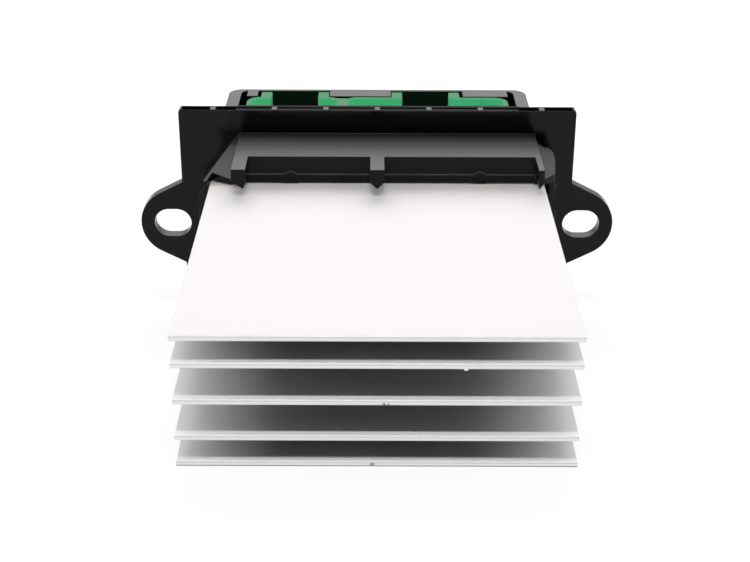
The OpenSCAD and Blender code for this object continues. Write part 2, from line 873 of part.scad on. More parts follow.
// Insulating sheet between both transistors and the base plate
module thermal_pad() {
    pad_edge = 0.5;
    left = trans_xs[0] - trans_w / 2 - pad_edge;
    right = trans_xs[1] + trans_w / 2 + pad_edge;
    color("#8f979c")
    difference() {
        block([left, base_back, trans_bottom - pad_edge], [right, trans_front, trans_top]);
        for (x = trans_xs)
            bar_y(x, tab_z, screw_hole_r, base_back - cut, trans_front + cut);
    }
}

// Two screws through the transistors' tabs into the base plate
module transistor_screws() {
    color("#b9bcc0")
    for (x = trans_xs)
        screw(x, trans_front + tab_t, tab_z, screw_r - screw_gap,
            pad_t + tab_t + screw_bore_l - screw_end_gap, screw_head_r, screw_head_h);
}

// Two screws through the seat into the base plate
module sink_screws() {
    color("#b9bcc0")
    for (x = [-sink_screw_x, sink_screw_x])
        screw(x, seat_back, 0, screw_r - screw_gap, seat_t + screw_bore_l - screw_end_gap,
            screw_head_r, screw_head_h);
}

// Electrolytic can standing on the board
module filter_capacitor() {
    can_r = 4;
    can_gap = 1.5;
    can_l = cover_front - board_back - can_gap;
    can_shift = 5;
    can_x = -post_x + can_shift;
    crimp = [0.9, 1.2, 1.5];
    crimp_d = 0.3;
    crimp_r = can_r - crimp_d;
    edge = 0.4;
    color("#3a4a63")
    translate([can_x, board_back, parts_z]) rotate([-90, 0, 0]) rotate_extrude()
        polygon([[0, 0], [can_r, 0], [can_r, crimp[0]], [crimp_r, crimp[1]], [can_r, crimp[2]],
            [can_r, can_l - edge], [can_r - edge, can_l], [0, can_l]]);
}

// Overvoltage disc on two legs
module surge_disc() {
    disc_r = 3.4;
    disc_t = 3;
    disc_inset = 7.5;
    disc_x = board_x - disc_inset;
    leg_l = 1;
    leg_r = 0.4;
    disc_y = board_back + leg_l + disc_r;
    leg_step = 2;
    color("#b5642a")
    union() {
        translate([disc_x - disc_t / 2, disc_y, parts_z]) rotate([0, 90, 0])
            cylinder(r = disc_r, h = disc_t);
        for (z = [parts_z - leg_step, parts_z + leg_step])
            bar_y(disc_x, z, leg_r, board_back, disc_y);
    }
}

// Current-sense strip: a bridge with two feet
module shunt_strip() {
    strip_w = 4;
    strip_t = 0.8;
    strip_l = 9;
    strip_h = 3;
    strip_inset = 13.9;
    strip_x = board_x - strip_inset;
    color("#a58a5c")
    along_x(strip_x - strip_w / 2, strip_x + strip_w / 2)
        translate([board_back, parts_z - strip_l / 2]) difference() {
            square([strip_h, strip_l]);
            translate([-strip_t, strip_t]) square([strip_h, strip_l - 2 * strip_t]);
        }
}

// Control chip with two rows of legs
module control_chip() {
    chip_l = 8.6;
    chip_w = 3.9;
    chip_h = 1.5;
    leg_pitch = 1.27;
    leg_count = 7;
    leg_reach = 1;
    leg_size = [0.45, 0.6, chip_w + 2 * leg_reach];
    color("#18191b")
    translate([0, board_back, parts_z]) union() {
        block([-chip_l / 2, 0, -chip_w / 2], [chip_l / 2, chip_h, chip_w / 2]);
        for (i = [0:leg_count - 1])
            translate([(i - (leg_count - 1) / 2) * leg_pitch, leg_size[1] / 2, 0])
                cube(leg_size, center = true);
    }
}

// Row of small surface-mount parts
module chip_resistors() {
    chip_w = 1.6;
    chip_t = 0.6;
    chip_l = 3.2;
    count = 5;
    pitch = 2.4;
    rise = 3.7;
    color("#2b2d33")
    for (i = [0:count - 1])
        translate([(i - (count - 1) / 2) * pitch - chip_w / 2, board_back, parts_z + rise])
            cube([chip_w, chip_t, chip_l]);
}

// Over-temperature fuse lying across the board on two bent legs
module thermal_cutout() {
    fuse_r = 1.6;
    fuse_l = 6;
    leg_l = 2;
    leg_r = 0.45;
    fuse_shift = 11.2;
    fuse_x = -post_x + fuse_shift;
    fuse_gap = 0.2;
    fuse_y = board_back + fuse_r + fuse_gap;
    fuse_drop = 0.5;
    color("#d9cfae")
    translate([fuse_x, 0, parts_z - fuse_drop]) union() {
        translate([0, fuse_y, -fuse_l / 2]) cylinder(r = fuse_r, h = fuse_l);
        translate([0, fuse_y, -fuse_l / 2 - leg_l / 2]) cylinder(r = leg_r, h = fuse_l + leg_l);
        for (z = [-fuse_l / 2 - leg_l / 2, fuse_l / 2 + leg_l / 2])
            bar_y(0, z, leg_r, board_back, fuse_y);
    }
}

heat_sink();
housing();
rear_cover();
connector_header();
blade(motor_xs[0], blade_w);  // motor_blade_left
blade(motor_xs[1], blade_w);  // motor_blade_right
blade(supply_xs[0], blade_w);  // supply_blade_left
blade(supply_xs[1], blade_w);  // supply_blade_right
blade(pin_xs[0], pin_w);  // signal_pin_left
blade(pin_xs[1], pin_w);  // signal_pin_right
circuit_board();
board_screws();
power_transistor(trans_xs[0]);  // power_transistor_left
power_transistor(trans_xs[1]);  // power_transistor_right
transistor_leads();
thermal_pad();
transistor_screws();
sink_screws();
filter_capacitor();
surge_disc();
shunt_strip();
control_chip();
chip_resistors();
thermal_cutout();
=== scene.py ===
"""Blower motor resistor: rounded edges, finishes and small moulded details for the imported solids.

All lengths are metres in the part's own frame: X across the fins, Y from the fin tips to the plugs, Z up.
"""

from __future__ import annotations

import json
import logging
import math
from dataclasses import dataclass
from enum import Enum
from functools import cache

import bpy
import numpy as np
from mathutils import Matrix, Vector

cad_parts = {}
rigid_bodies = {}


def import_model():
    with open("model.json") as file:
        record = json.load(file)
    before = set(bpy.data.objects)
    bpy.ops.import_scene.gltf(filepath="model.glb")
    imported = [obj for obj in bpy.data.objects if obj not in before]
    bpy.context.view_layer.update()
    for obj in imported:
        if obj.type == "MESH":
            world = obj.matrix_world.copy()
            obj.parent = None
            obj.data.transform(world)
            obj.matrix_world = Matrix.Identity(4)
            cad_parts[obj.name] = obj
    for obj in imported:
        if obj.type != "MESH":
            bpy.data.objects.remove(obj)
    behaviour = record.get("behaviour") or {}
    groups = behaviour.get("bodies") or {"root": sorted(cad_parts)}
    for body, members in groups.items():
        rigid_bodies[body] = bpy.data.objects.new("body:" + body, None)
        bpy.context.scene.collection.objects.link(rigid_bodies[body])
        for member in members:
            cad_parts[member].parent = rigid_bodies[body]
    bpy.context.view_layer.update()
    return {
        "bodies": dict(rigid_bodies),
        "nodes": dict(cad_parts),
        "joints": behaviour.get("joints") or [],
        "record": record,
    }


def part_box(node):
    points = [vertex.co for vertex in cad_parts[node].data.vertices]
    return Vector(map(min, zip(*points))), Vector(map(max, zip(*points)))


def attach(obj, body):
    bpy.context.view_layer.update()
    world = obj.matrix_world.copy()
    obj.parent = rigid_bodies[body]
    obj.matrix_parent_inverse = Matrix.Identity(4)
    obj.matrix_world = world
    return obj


LOG = logging.getLogger("blower_motor_resistor")
MM = 0.001
BODY = "root"

Colour = tuple[float, float, float]
Point = tuple[float, float, float]
Span = tuple[float, float]
Socket = bpy.types.NodeSocket

RISE: Span = (0.0, 1.0)
FALL: Span = (1.0, 0.0)
# Further out than any piece, for spans that are open at one end
FAR = 1.0


class Lines(Enum):
    """Direction in which a finish is drawn out, as scales along X, Y and Z."""

    NONE = (1.0, 1.0, 1.0)
    ALONG_X = (0.004, 1.0, 1.0)
    ALONG_Y = (1.0, 0.01, 1.0)
    ALONG_Z = (1.0, 1.0, 0.01)


class Side(Enum):
    """Axis of the part's frame, as Blender names a vector's part along it."""

    X = "X"
    Y = "Y"
    Z = "Z"


class Graph:
    """A material's node tree, with short calls for the nodes that the finishes use.

    The class holds three limits: the cosine of a rounded normal's lean off an edge and on it, the part of a
    normal along an axis from which a face looks that way, not at all and in full, and the share of a mark's
    reach that it covers in full.
    """

    edge_lean: Span = (0.98, 0.8)
    facing_part: Span = (0.6, 0.8)
    mark_core: float = 0.6

    def __init__(self, name: str) -> None:
        """Starts a material with one Principled shader.

        Args:
            name: The material's name.
        """
        self.material = bpy.data.materials.new(name)
        self.material.use_nodes = True
        self.tree = self.material.node_tree
        self.tree.nodes.clear()
        self.output = self.tree.nodes.new("ShaderNodeOutputMaterial")
        self.shader = self.tree.nodes.new("ShaderNodeBsdfPrincipled")
        self.join(self.shader.outputs["BSDF"], self.output.inputs["Surface"])
        self.place = self.tree.nodes.new("ShaderNodeTexCoord").outputs["Object"]
        self.geometry = self.tree.nodes.new("ShaderNodeNewGeometry")

    def join(self, source: Socket, target: Socket) -> None:
        """Links one socket to another."""
        self.tree.links.new(source, target)

    def set(self, socket: str, value: float) -> None:
        """Sets a constant on the shader's own socket."""
        self.shader.inputs[socket].default_value = value

    def feed(self, socket: str, source: Socket) -> None:
        """Links a computed value to one of the shader's sockets."""
        self.join(source, self.shader.inputs[socket])

    def part(self, vector: Socket, side: Side) -> Socket:
        """The part of a vector along one axis."""
        node = self.tree.nodes.new("ShaderNodeSeparateXYZ")
        self.join(vector, node.inputs[0])
        return node.outputs[side.value]

    def size(self, value: Socket) -> Socket:
        """A value without its sign."""
        return self.math("ABSOLUTE", value, 0.0)

    def stretched(self, scales: Point) -> Socket:
        """Object coordinates scaled along each axis.

        Args:
            scales: Factors along X, Y and Z.

        Returns:
            The vector socket.
        """
        node = self.tree.nodes.new("ShaderNodeMapping")
        node.inputs["Scale"].default_value = scales
        self.join(self.place, node.inputs["Vector"])
        return node.outputs["Vector"]

    def noise(self, scale: float, detail: float = 3.0, scales: Point = Lines.NONE.value) -> Socket:
        """Noise on object coordinates.

        Args:
            scale: Features per metre.
            detail: Octaves of finer noise.
            scales: Stretch along X, Y and Z.

        Returns:
            The factor socket, about 0 to 1.
        """
        node = self.tree.nodes.new("ShaderNodeTexNoise")
        node.inputs["Scale"].default_value = scale
        node.inputs["Detail"].default_value = detail
        self.join(self.stretched(scales), node.inputs["Vector"])
        return node.outputs["Fac"]

    def ranged(self, source: Socket, low: Span, high: Span) -> Socket:
        """Maps a factor from one range to another and clamps it.

        Args:
            source: The factor.
            low: Range of the factor that is used.
            high: Values at the two ends of that range.

        Returns:
            The mapped socket.
        """
        node = self.tree.nodes.new("ShaderNodeMapRange")
        node.inputs["From Min"].default_value, node.inputs["From Max"].default_value = low
        node.inputs["To Min"].default_value, node.inputs["To Max"].default_value = high
        self.join(source, node.inputs["Value"])
        return node.outputs["Result"]

    def math(self, operation: str, first: Socket, second: Socket | float) -> Socket:
        """Arithmetic on two values.

        Args:
            operation: Blender's name for the operation.
            first: The first value.
            second: The second value, a socket or a number.

        Returns:
            The result socket.
        """
        node = self.tree.nodes.new("ShaderNodeMath")
        node.operation = operation
        self.join(first, node.inputs[0])
        if isinstance(second, (int, float)):
            node.inputs[1].default_value = second
        else:
            self.join(second, node.inputs[1])
        return node.outputs[0]

    def mixed(self, factor: Socket, first: Colour | Socket, second: Colour) -> Socket:
        """Blends two colours.

        Args:
            factor: Share of the second colour.
            first: The first colour, written out or as a socket.
            second: The second colour.

        Returns:
            The colour socket.
        """
        node = self.tree.nodes.new("ShaderNodeMix")
        node.data_type = "RGBA"
        self.join(factor, node.inputs["Factor"])
        if isinstance(first, tuple):
            node.inputs[6].default_value = (*first, 1.0)
        else:
            self.join(first, node.inputs[6])
        node.inputs[7].default_value = (*second, 1.0)
        return node.outputs[2]

    def bump(self, height: Socket, depth: float, normal: Socket | None = None) -> Socket:
        """Turns a height into a tilted normal.

        Args:
            height: The height, 0 to 1.
            depth: Height of 1 in metres.
            normal: A normal to tilt further.

        Returns:
            The normal socket.
        """
        node = self.tree.nodes.new("ShaderNodeBump")
        node.inputs["Distance"].default_value = depth
        self.join(height, node.inputs["Height"])
        if normal is not None:
            self.join(normal, node.inputs["Normal"])
        return node.outputs["Normal"]

    def edges(self, radius: float) -> Socket:
        """Mask that is 1 on edges: how far a rounded normal leans from the true one.

        Args:
            radius: Reach of the mask from an edge, in metres.

        Returns:
            The factor socket.
        """
        rounded = self.tree.nodes.new("ShaderNodeBevel")
        rounded.inputs["Radius"].default_value = radius
        dot = self.tree.nodes.new("ShaderNodeVectorMath")
        dot.operation = "DOT_PRODUCT"
        self.join(rounded.outputs["Normal"], dot.inputs[0])
        self.join(self.geometry.outputs["True Normal"], dot.inputs[1])
        return self.ranged(dot.outputs["Value"], self.edge_lean, RISE)

    def facing(self, side: Side) -> Socket:
        """Mask that is 1 on faces that look along one axis, either way.

        Args:
            side: The axis.

        Returns:
            The factor socket.
        """
        along = self.size(self.part(self.geometry.outputs["True Normal"], side))
        return self.ranged(along, self.facing_part, RISE)

    def outside(self, side: Side, span: Span) -> Socket:
        """Mask that is 1 where a coordinate lies outside a span.

        Args:
            side: The coordinate's axis.
            span: The span, in metres.

        Returns:
            The factor socket.
        """
        along = self.part(self.place, side)
        below = self.math("LESS_THAN", along, span[0])
        return self.math("MAXIMUM", below, self.math("GREATER_THAN", along, span[1]))

    def inside(self, side: Side, span: Span) -> Socket:
        """Mask that is 1 where a coordinate lies in a span.

        Args:
            side: The coordinate's axis.
            span: The span, in metres.

        Returns:
            The factor socket.
        """
        return self.ranged(self.outside(side, span), RISE, FALL)

    def fade(self, side: Side, span: Span) -> Socket:
        """Mask that rises from 0 to 1 while the size of a coordinate goes through a span.

        Args:
            side: The coordinate's axis.
            span: The span, in metres.

        Returns:
            The factor socket.
        """
        return self.ranged(self.size(self.part(self.place, side)), span, RISE)

    def profile(self, side: Side, span: Span, stops: tuple[Span, ...]) -> Socket:
        """Mask that follows a line of stops along one axis.

        Args:
            side: The axis.
            span: Where the line begins and ends, in metres.
            stops: Place in metres and level, 0 to 1, of each stop.

        Returns:
            The factor socket.
        """
        ramp = self.tree.nodes.new("ShaderNodeValToRGB")
        self.join(self.ranged(self.part(self.place, side), span, RISE), ramp.inputs["Fac"])
        elements = ramp.color_ramp.elements
        for index, (place, level) in enumerate(stops):
            share = (place - span[0]) / (span[1] - span[0])
            element = elements[index] if index < 2 else elements.new(share)
            element.position = share
            element.color = (level, level, level, 1.0)
        return ramp.outputs["Color"]

    def near(self, place: Point, reach: float) -> Socket:
        """Mask that falls from 1 at a point to 0 at a distance from it.

        Args:
            place: The point, in metres.
            reach: The distance, in metres.

        Returns:
            The factor socket.
        """
        span = self.tree.nodes.new("ShaderNodeVectorMath")
        span.operation = "DISTANCE"
        self.join(self.place, span.inputs[0])
        span.inputs[1].default_value = place
        return self.ranged(span.outputs["Value"], (self.mark_core * reach, reach), FALL)

    def cells(self, scale: float) -> Socket:
        """Distance to the nearest of a field of scattered points, measured so that the cells are square.

        Args:
            scale: Points per metre.

        Returns:
            The distance socket.
        """
        node = self.tree.nodes.new("ShaderNodeTexVoronoi")
        node.distance = "CHEBYCHEV"
        node.inputs["Scale"].default_value = scale
        self.join(self.place, node.inputs["Vector"])
        return node.outputs["Distance"]


@dataclass(frozen=True)
class Finish:
    """One surface finish: a base colour that clouds into a second one, with grain and worn edges."""

    name: str
    base: Colour
    cloud: Colour
    roughness: Span
    metallic: float = 0.0
    specular: float = 0.5
    cloud_scale: float = 60.0
    grain_scale: float = 3000.0
    grain_depth: float = 0.004 * MM
    lines: Lines = Lines.NONE
    worn: Colour | None = None
    wear_reach: float = 0.4 * MM
    cloud_span: Span = (0.3, 0.7)
    sheen_span: Span = (0.6, 1.4)
    patch_scale: float = 900.0
    patch_span: Span = (0.35, 0.65)
    patch_shares: Span = (0.2, 1.0)

    @cache
    def material(self) -> bpy.types.Material:
        """Builds the material, once for all the pieces that wear it.

        Returns:
            The finished material.
        """
        graph = Graph(self.name)
        graph.set("Metallic", self.metallic)
        graph.set("Specular IOR Level", self.specular)
        cloud = graph.noise(self.cloud_scale, detail=4.0)
        colour = graph.mixed(graph.ranged(cloud, self.cloud_span, RISE), self.base, self.cloud)
        grain = graph.noise(self.grain_scale, detail=2.0, scales=self.lines.value)
        roughness = graph.ranged(graph.math("ADD", cloud, grain), self.sheen_span, self.roughness)
        if self.worn is not None:
            patches = graph.ranged(graph.noise(self.patch_scale), self.patch_span, self.patch_shares)
            wear = graph.math("MULTIPLY", graph.edges(self.wear_reach), patches)
            colour = graph.mixed(wear, colour, self.worn)
        colour, roughness = self.detail(graph, colour, roughness)
        graph.feed("Base Color", colour)
        graph.feed("Roughness", roughness)
        graph.feed("Normal", self.relief(graph, graph.bump(grain, self.grain_depth)))
        return graph.material

    def detail(self, graph: Graph, colour: Socket, roughness: Socket) -> tuple[Socket, Socket]:
        """Adds what only this finish has; a plain finish adds nothing.

        Args:
            graph: The material's nodes.
            colour: The colour so far.
            roughness: The roughness so far.

        Returns:
            The colour and the roughness sockets.
        """
        return colour, roughness

    def relief(self, graph: Graph, normal: Socket) -> Socket:
        """Adds relief that only this finish has; a plain finish returns the normal as it is."""
        return normal


@dataclass(frozen=True)
class Mark:
    """A small round mark on a surface."""

    place: Point
    reach: float
    shade: Colour


@dataclass(frozen=True)
class Extrusion(Finish):
    """Extruded metal: die lines, saw lines on the sawn ends, etched outer faces and marks from handling.

    Colour stands in for light: the fins' level faces are painted lighter near their front edges and
    towards the gaps' open ends, and their inner faces keep a darker colour as painted shade in the gaps.
    A painted shade line runs along each fin's front, and a painted contact shadow along the foot of the
    lowest fin's front.
    """

    outer_z: Span = (-10.3 * MM, 15.3 * MM)
    outer_shade: Colour = (0.795, 0.775, 0.767)
    # Painted light: paler band on the fins' level faces near their front edges, where light reaches the gaps
    tip_painted_light: Colour = (0.94, 0.935, 0.93)
    tip_light_ys: Span = (81.5 * MM, 82.0 * MM)
    # Painted light: the fins' level faces grow paler towards the gaps' open ends at either side
    end_painted_light: Colour = (0.86, 0.855, 0.85)
    end_light_xs: Span = (18.0 * MM, 36.0 * MM)
    # Colour of the fins' fronts; the fins' inner faces keep the darker base colour as painted shade in the
    # gaps
    front_shade: Colour = (0.78, 0.78, 0.78)
    fin_tops: tuple[float, ...] = (15.38 * MM, 10.18 * MM, 3.08 * MM, -4.02 * MM, -9.22 * MM)
    # Painted shade: a grey line just below the rounded top edge of each fin's front
    shade_line_drop: Span = (0.12 * MM, 0.4 * MM)
    line_painted_shade: Colour = (0.62, 0.62, 0.62)
    # Painted shadow: a dark line along the foot of the lowest fin's front, where it meets the floor
    foot_shadow_top: float = -10.08 * MM
    foot_shadow_ys: Span = (83.0 * MM, 83.1 * MM)
    foot_painted_shadow: Colour = (0.05, 0.05, 0.048)
    matt_roughness: float = 0.72
    matt_metallic: float = 0.2
    saw_scale: float = 900.0
    saw_depth: float = 0.02 * MM
    saw_shade: Colour = (0.6, 0.6, 0.61)
    marks: tuple[Mark, ...] = ()

    def detail(self, graph: Graph, colour: Socket, roughness: Socket) -> tuple[Socket, Socket]:
        """Dulls the sawn ends, the etched outer faces and the fins' rims, paints light on the rims, and adds
        painted shade lines along the fins' fronts, a painted shadow at the lowest fin's foot, and the marks.

        Args:
            graph: The material's nodes.
            colour: The colour so far.
            roughness: The roughness so far.

        Returns:
            The colour and the roughness sockets.
        """
        front = graph.facing(Side.Y)
        colour = graph.mixed(graph.facing(Side.X), colour, self.saw_shade)
        colour = graph.mixed(front, colour, self.front_shade)
        for top in self.fin_tops:
            # Painted shade line below each fin's rounded top front edge
            line = graph.inside(Side.Z, (top - self.shade_line_drop[1], top - self.shade_line_drop[0]))
            colour = graph.mixed(graph.math("MULTIPLY", line, front), colour, self.line_painted_shade)
        ends = graph.math("MULTIPLY", graph.fade(Side.X, self.end_light_xs), graph.facing(Side.Z))
        tips = graph.math("MULTIPLY", graph.fade(Side.Y, self.tip_light_ys), graph.facing(Side.Z))
        outer = graph.outside(Side.Z, self.outer_z)
        matt = graph.math("MAXIMUM", graph.math("MAXIMUM", ends, tips), outer)
        # Painted light at the gaps' ends and the fins' front edges, then the outer faces' own colour
        for mask, shade in ((ends, self.end_painted_light), (tips, self.tip_painted_light), (outer, self.outer_shade)):
            colour = graph.mixed(mask, colour, shade)
        roughness = graph.math("MAXIMUM", roughness, graph.math("MULTIPLY", matt, self.matt_roughness))
        graph.feed("Metallic", graph.ranged(matt, RISE, (self.metallic, self.matt_metallic)))
        # Painted contact shadow along the lowest fin's front foot
        lowest = graph.inside(Side.Z, (-FAR, self.foot_shadow_top))
        foot = graph.math("MULTIPLY", lowest, graph.fade(Side.Y, self.foot_shadow_ys))
        colour = graph.mixed(foot, colour, self.foot_painted_shadow)
        for mark in self.marks:
            colour = graph.mixed(graph.near(mark.place, mark.reach), colour, mark.shade)
        return colour, roughness

    def relief(self, graph: Graph, normal: Socket) -> Socket:
        """Saw lines, which run along Y on the ends only."""
        lines = graph.noise(self.saw_scale, detail=2.0, scales=Lines.ALONG_Y.value)
        return graph.bump(graph.math("MULTIPLY", lines, graph.facing(Side.X)), self.saw_depth, normal)


@dataclass(frozen=True)
class Moulding(Finish):
    """Moulded plastic whose level faces are dulled by grain and painted a colour that stands in for light.

    High up, the share of grain and painted light changes along Y: full on the hood's roof, fading towards
    the flange as a painted shadow of the flange, gone at the flange's front lip, full on the bridges of the
    flange's groove, faint on its back lip, and full again on the shroud's rim.
    """

    level_roughness: float = 0.42
    # Painted light: the level faces' colour, which stands in for the light that falls on them
    level_painted_light: Colour = (0.048, 0.047, 0.0505)
    matt_roughness: float = 0.95
    grain_and_light_from: float = 20.0 * MM
    grain_and_light_ys: Span = (-10.0 * MM, 10.0 * MM)
    # Share of grain and painted light along Y; its fall from -6 mm to -0.8 mm is a painted shadow of the
    # flange
    grain_and_light_stops: tuple[Span, ...] = (
        (-6.0 * MM, 1.0), (-0.8 * MM, 0.0), (0.56 * MM, 0.0), (0.64 * MM, 1.0),
        (2.36 * MM, 1.0), (2.44 * MM, 0.15), (5.0 * MM, 0.15), (5.1 * MM, 1.0),
    )

    def detail(self, graph: Graph, colour: Socket, roughness: Socket) -> tuple[Socket, Socket]:
        """Dulls the level faces and paints their colour, which stands in for light; beside the upper flange
        that painted light fades out as a painted shadow of the flange, and the faces stay matt and black.

        Args:
            graph: The material's nodes.
            colour: The colour so far.
            roughness: The roughness so far.

        Returns:
            The colour and the roughness sockets.
        """
        level = graph.facing(Side.Z)
        high = graph.profile(Side.Y, self.grain_and_light_ys, self.grain_and_light_stops)
        grain_and_painted_light = graph.math("MAXIMUM", high, graph.inside(Side.Z, (-FAR, self.grain_and_light_from)))
        dull = graph.ranged(grain_and_painted_light, RISE, (self.matt_roughness, self.level_roughness))
        # Painted light on level faces, faded out beside the flange as a painted shadow
        colour = graph.mixed(graph.math("MULTIPLY", level, grain_and_painted_light), colour, self.level_painted_light)
        return colour, graph.math("MAXIMUM", roughness, graph.math("MULTIPLY", level, dull))


@dataclass(frozen=True)
class Laminate(Finish):
    """Board under solder mask, with the lines of its copper showing through."""

    copper: Colour = (0.06, 0.26, 0.11)
    cell_scale: float = 420.0
    line_span: Span = (0.42, 0.46)
    rim: Colour = (0.34, 0.3, 0.17)

    def detail(self, graph: Graph, colour: Socket, roughness: Socket) -> tuple[Socket, Socket]:
        """Copper where square cells meet, and the bare rim of the cut board.

        Args:
            graph: The material's nodes.
            colour: The colour so far.
            roughness: The roughness so far.

        Returns:
            The colour and the roughness sockets.
        """
        lines = graph.ranged(graph.cells(self.cell_scale), self.line_span, RISE)
        colour = graph.mixed(lines, colour, self.copper)
        cut = graph.ranged(graph.facing(Side.Y), RISE, FALL)
        return graph.mixed(cut, colour, self.rim), roughness


@dataclass(frozen=True)
class Sleeved(Finish):
    """A can in a coloured sleeve that leaves the metal of its ends bare."""

    end: Colour = (0.62, 0.62, 0.63)
    end_side: Side = Side.Y

    def detail(self, graph: Graph, colour: Socket, roughness: Socket) -> tuple[Socket, Socket]:
        """Bares the ends.

        Args:
            graph: The material's nodes.
            colour: The colour so far.
            roughness: The roughness so far.

        Returns:
            The colour and the roughness sockets.
        """
        return graph.mixed(graph.facing(self.end_side), colour, self.end), roughness


BLACK_MOULDING = Moulding(
    "black_moulding", (0.0010, 0.0010, 0.0013), (0.0018, 0.0018, 0.0022), (0.13, 0.2), specular=0.185,
    grain_scale=3600.0, grain_depth=0.003 * MM, worn=(0.006, 0.006, 0.0062),
)
BLACK_COVER = Finish(
    "black_cover", (0.002, 0.002, 0.0024), (0.0035, 0.0035, 0.004), (0.34, 0.46), specular=0.3,
    grain_scale=3000.0, grain_depth=0.008 * MM, worn=(0.014, 0.014, 0.015),
)
GREEN_MOULDING = Moulding(
    # Painted light: the bright colour of upright faces and the darker level colour stand in for light and
    # shade
    "green_moulding", (0.13, 0.75, 0.38), (0.15, 0.81, 0.42), (0.3, 0.42), specular=0.2,
    grain_scale=2200.0, worn=(0.12, 0.42, 0.22), level_painted_light=(0.045, 0.22, 0.095), level_roughness=0.6,
    grain_and_light_stops=((-10.0 * MM, 1.0), (10.0 * MM, 1.0)),
)
ALUMINIUM = Extrusion(
    # Base and cloud colours stay on the fins' inner faces, darker than the fronts: painted shade in the gaps
    "extruded_aluminium", (0.71, 0.71, 0.71), (0.68, 0.68, 0.68), (0.38, 0.5), metallic=1.0,
    grain_scale=1500.0, grain_depth=0.004 * MM, lines=Lines.ALONG_X,
    marks=(
        Mark((1.2 * MM, -83.3 * MM, 2.25 * MM), 0.32 * MM, (0.2, 0.2, 0.2)),
        Mark((1.95 * MM, -83.3 * MM, 2.25 * MM), 0.26 * MM, (0.3, 0.3, 0.3)),
        Mark((-0.8 * MM, -83.3 * MM, -9.85 * MM), 0.55 * MM, (0.36, 0.35, 0.33)),
    ),
)
TINNED = Finish(
    "tinned_terminal", (0.7, 0.68, 0.62), (0.62, 0.6, 0.54), (0.2, 0.36), metallic=1.0,
    grain_scale=2500.0, grain_depth=0.002 * MM, lines=Lines.ALONG_Z,
)
BOARD_LAMINATE = Laminate(
    "board_laminate", (0.016, 0.12, 0.045), (0.022, 0.15, 0.06), (0.28, 0.42), grain_scale=1800.0,
)
ZINC = Finish(
    "zinc_screw", (0.6, 0.61, 0.64), (0.5, 0.51, 0.53), (0.24, 0.4), metallic=1.0, grain_scale=1600.0,
    worn=(0.72, 0.73, 0.75), wear_reach=0.2 * MM,
)
EPOXY = Finish(
    "black_epoxy", (0.012, 0.012, 0.013), (0.019, 0.019, 0.021), (0.45, 0.6), specular=0.4,
    grain_scale=5000.0, grain_depth=0.01 * MM, worn=(0.04, 0.04, 0.042), wear_reach=0.15 * MM,
)
TINNED_LEAD = Finish(
    "tinned_lead", (0.7, 0.7, 0.69), (0.58, 0.58, 0.57), (0.24, 0.4), metallic=1.0, grain_scale=2800.0,
)
SILICONE = Finish(
    "silicone_pad", (0.36, 0.4, 0.43), (0.42, 0.46, 0.49), (0.65, 0.8), specular=0.3, grain_scale=4200.0,
    grain_depth=0.012 * MM,
)
CAPACITOR_CAN = Sleeved(
    "capacitor_can", (0.03, 0.05, 0.11), (0.045, 0.07, 0.15), (0.22, 0.34), grain_scale=1400.0,
)
ORANGE_EPOXY = Finish(
    "orange_epoxy", (0.47, 0.13, 0.028), (0.53, 0.16, 0.035), (0.2, 0.32), grain_scale=700.0,
    grain_depth=0.03 * MM,
)
SHUNT_ALLOY = Finish(
    "shunt_alloy", (0.45, 0.3, 0.15), (0.36, 0.23, 0.11), (0.3, 0.46), metallic=1.0, grain_scale=2000.0,
    lines=Lines.ALONG_Z,
)
CUTOUT_CASE = Finish(
    "cutout_case", (0.6, 0.52, 0.33), (0.66, 0.59, 0.4), (0.3, 0.44), specular=0.45, grain_scale=2400.0,
    worn=(0.72, 0.7, 0.62), wear_reach=0.2 * MM,
)


@dataclass
class Rounding:
    """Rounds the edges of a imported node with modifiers; the node's own points stay where they are."""

    width: float
    segments: int = 2
    edge_angle: float = math.radians(35.0)
    weld: float = 0.002 * MM
    flat_angle: float = math.radians(0.5)
    face_weight: int = 100

    def apply(self, piece: bpy.types.Object) -> None:
        """Adds the modifiers in order: weld, merge of flat faces, rounding, smooth normals.

        Args:
            piece: The node's object.
        """
        welded = piece.modifiers.new("weld", "WELD")
        welded.merge_threshold = self.weld
        flat = piece.modifiers.new("flat", "DECIMATE")
        flat.decimate_type = "DISSOLVE"
        flat.angle_limit = self.flat_angle
        rounded = piece.modifiers.new("round", "BEVEL")
        rounded.width = self.width
        rounded.segments = self.segments
        rounded.limit_method = "ANGLE"
        rounded.angle_limit = self.edge_angle
        rounded.use_clamp_overlap = False
        piece.data.polygons.foreach_set("use_smooth", np.ones(len(piece.data.polygons), dtype=bool))
        normals = piece.modifiers.new("normals", "WEIGHTED_NORMAL")
        normals.keep_sharp = False
        normals.weight = self.face_weight


def dress(piece: bpy.types.Object, material: bpy.types.Material) -> None:
    """Gives a piece one material in place of those it came with."""
    piece.data.materials.clear()
    piece.data.materials.append(material)


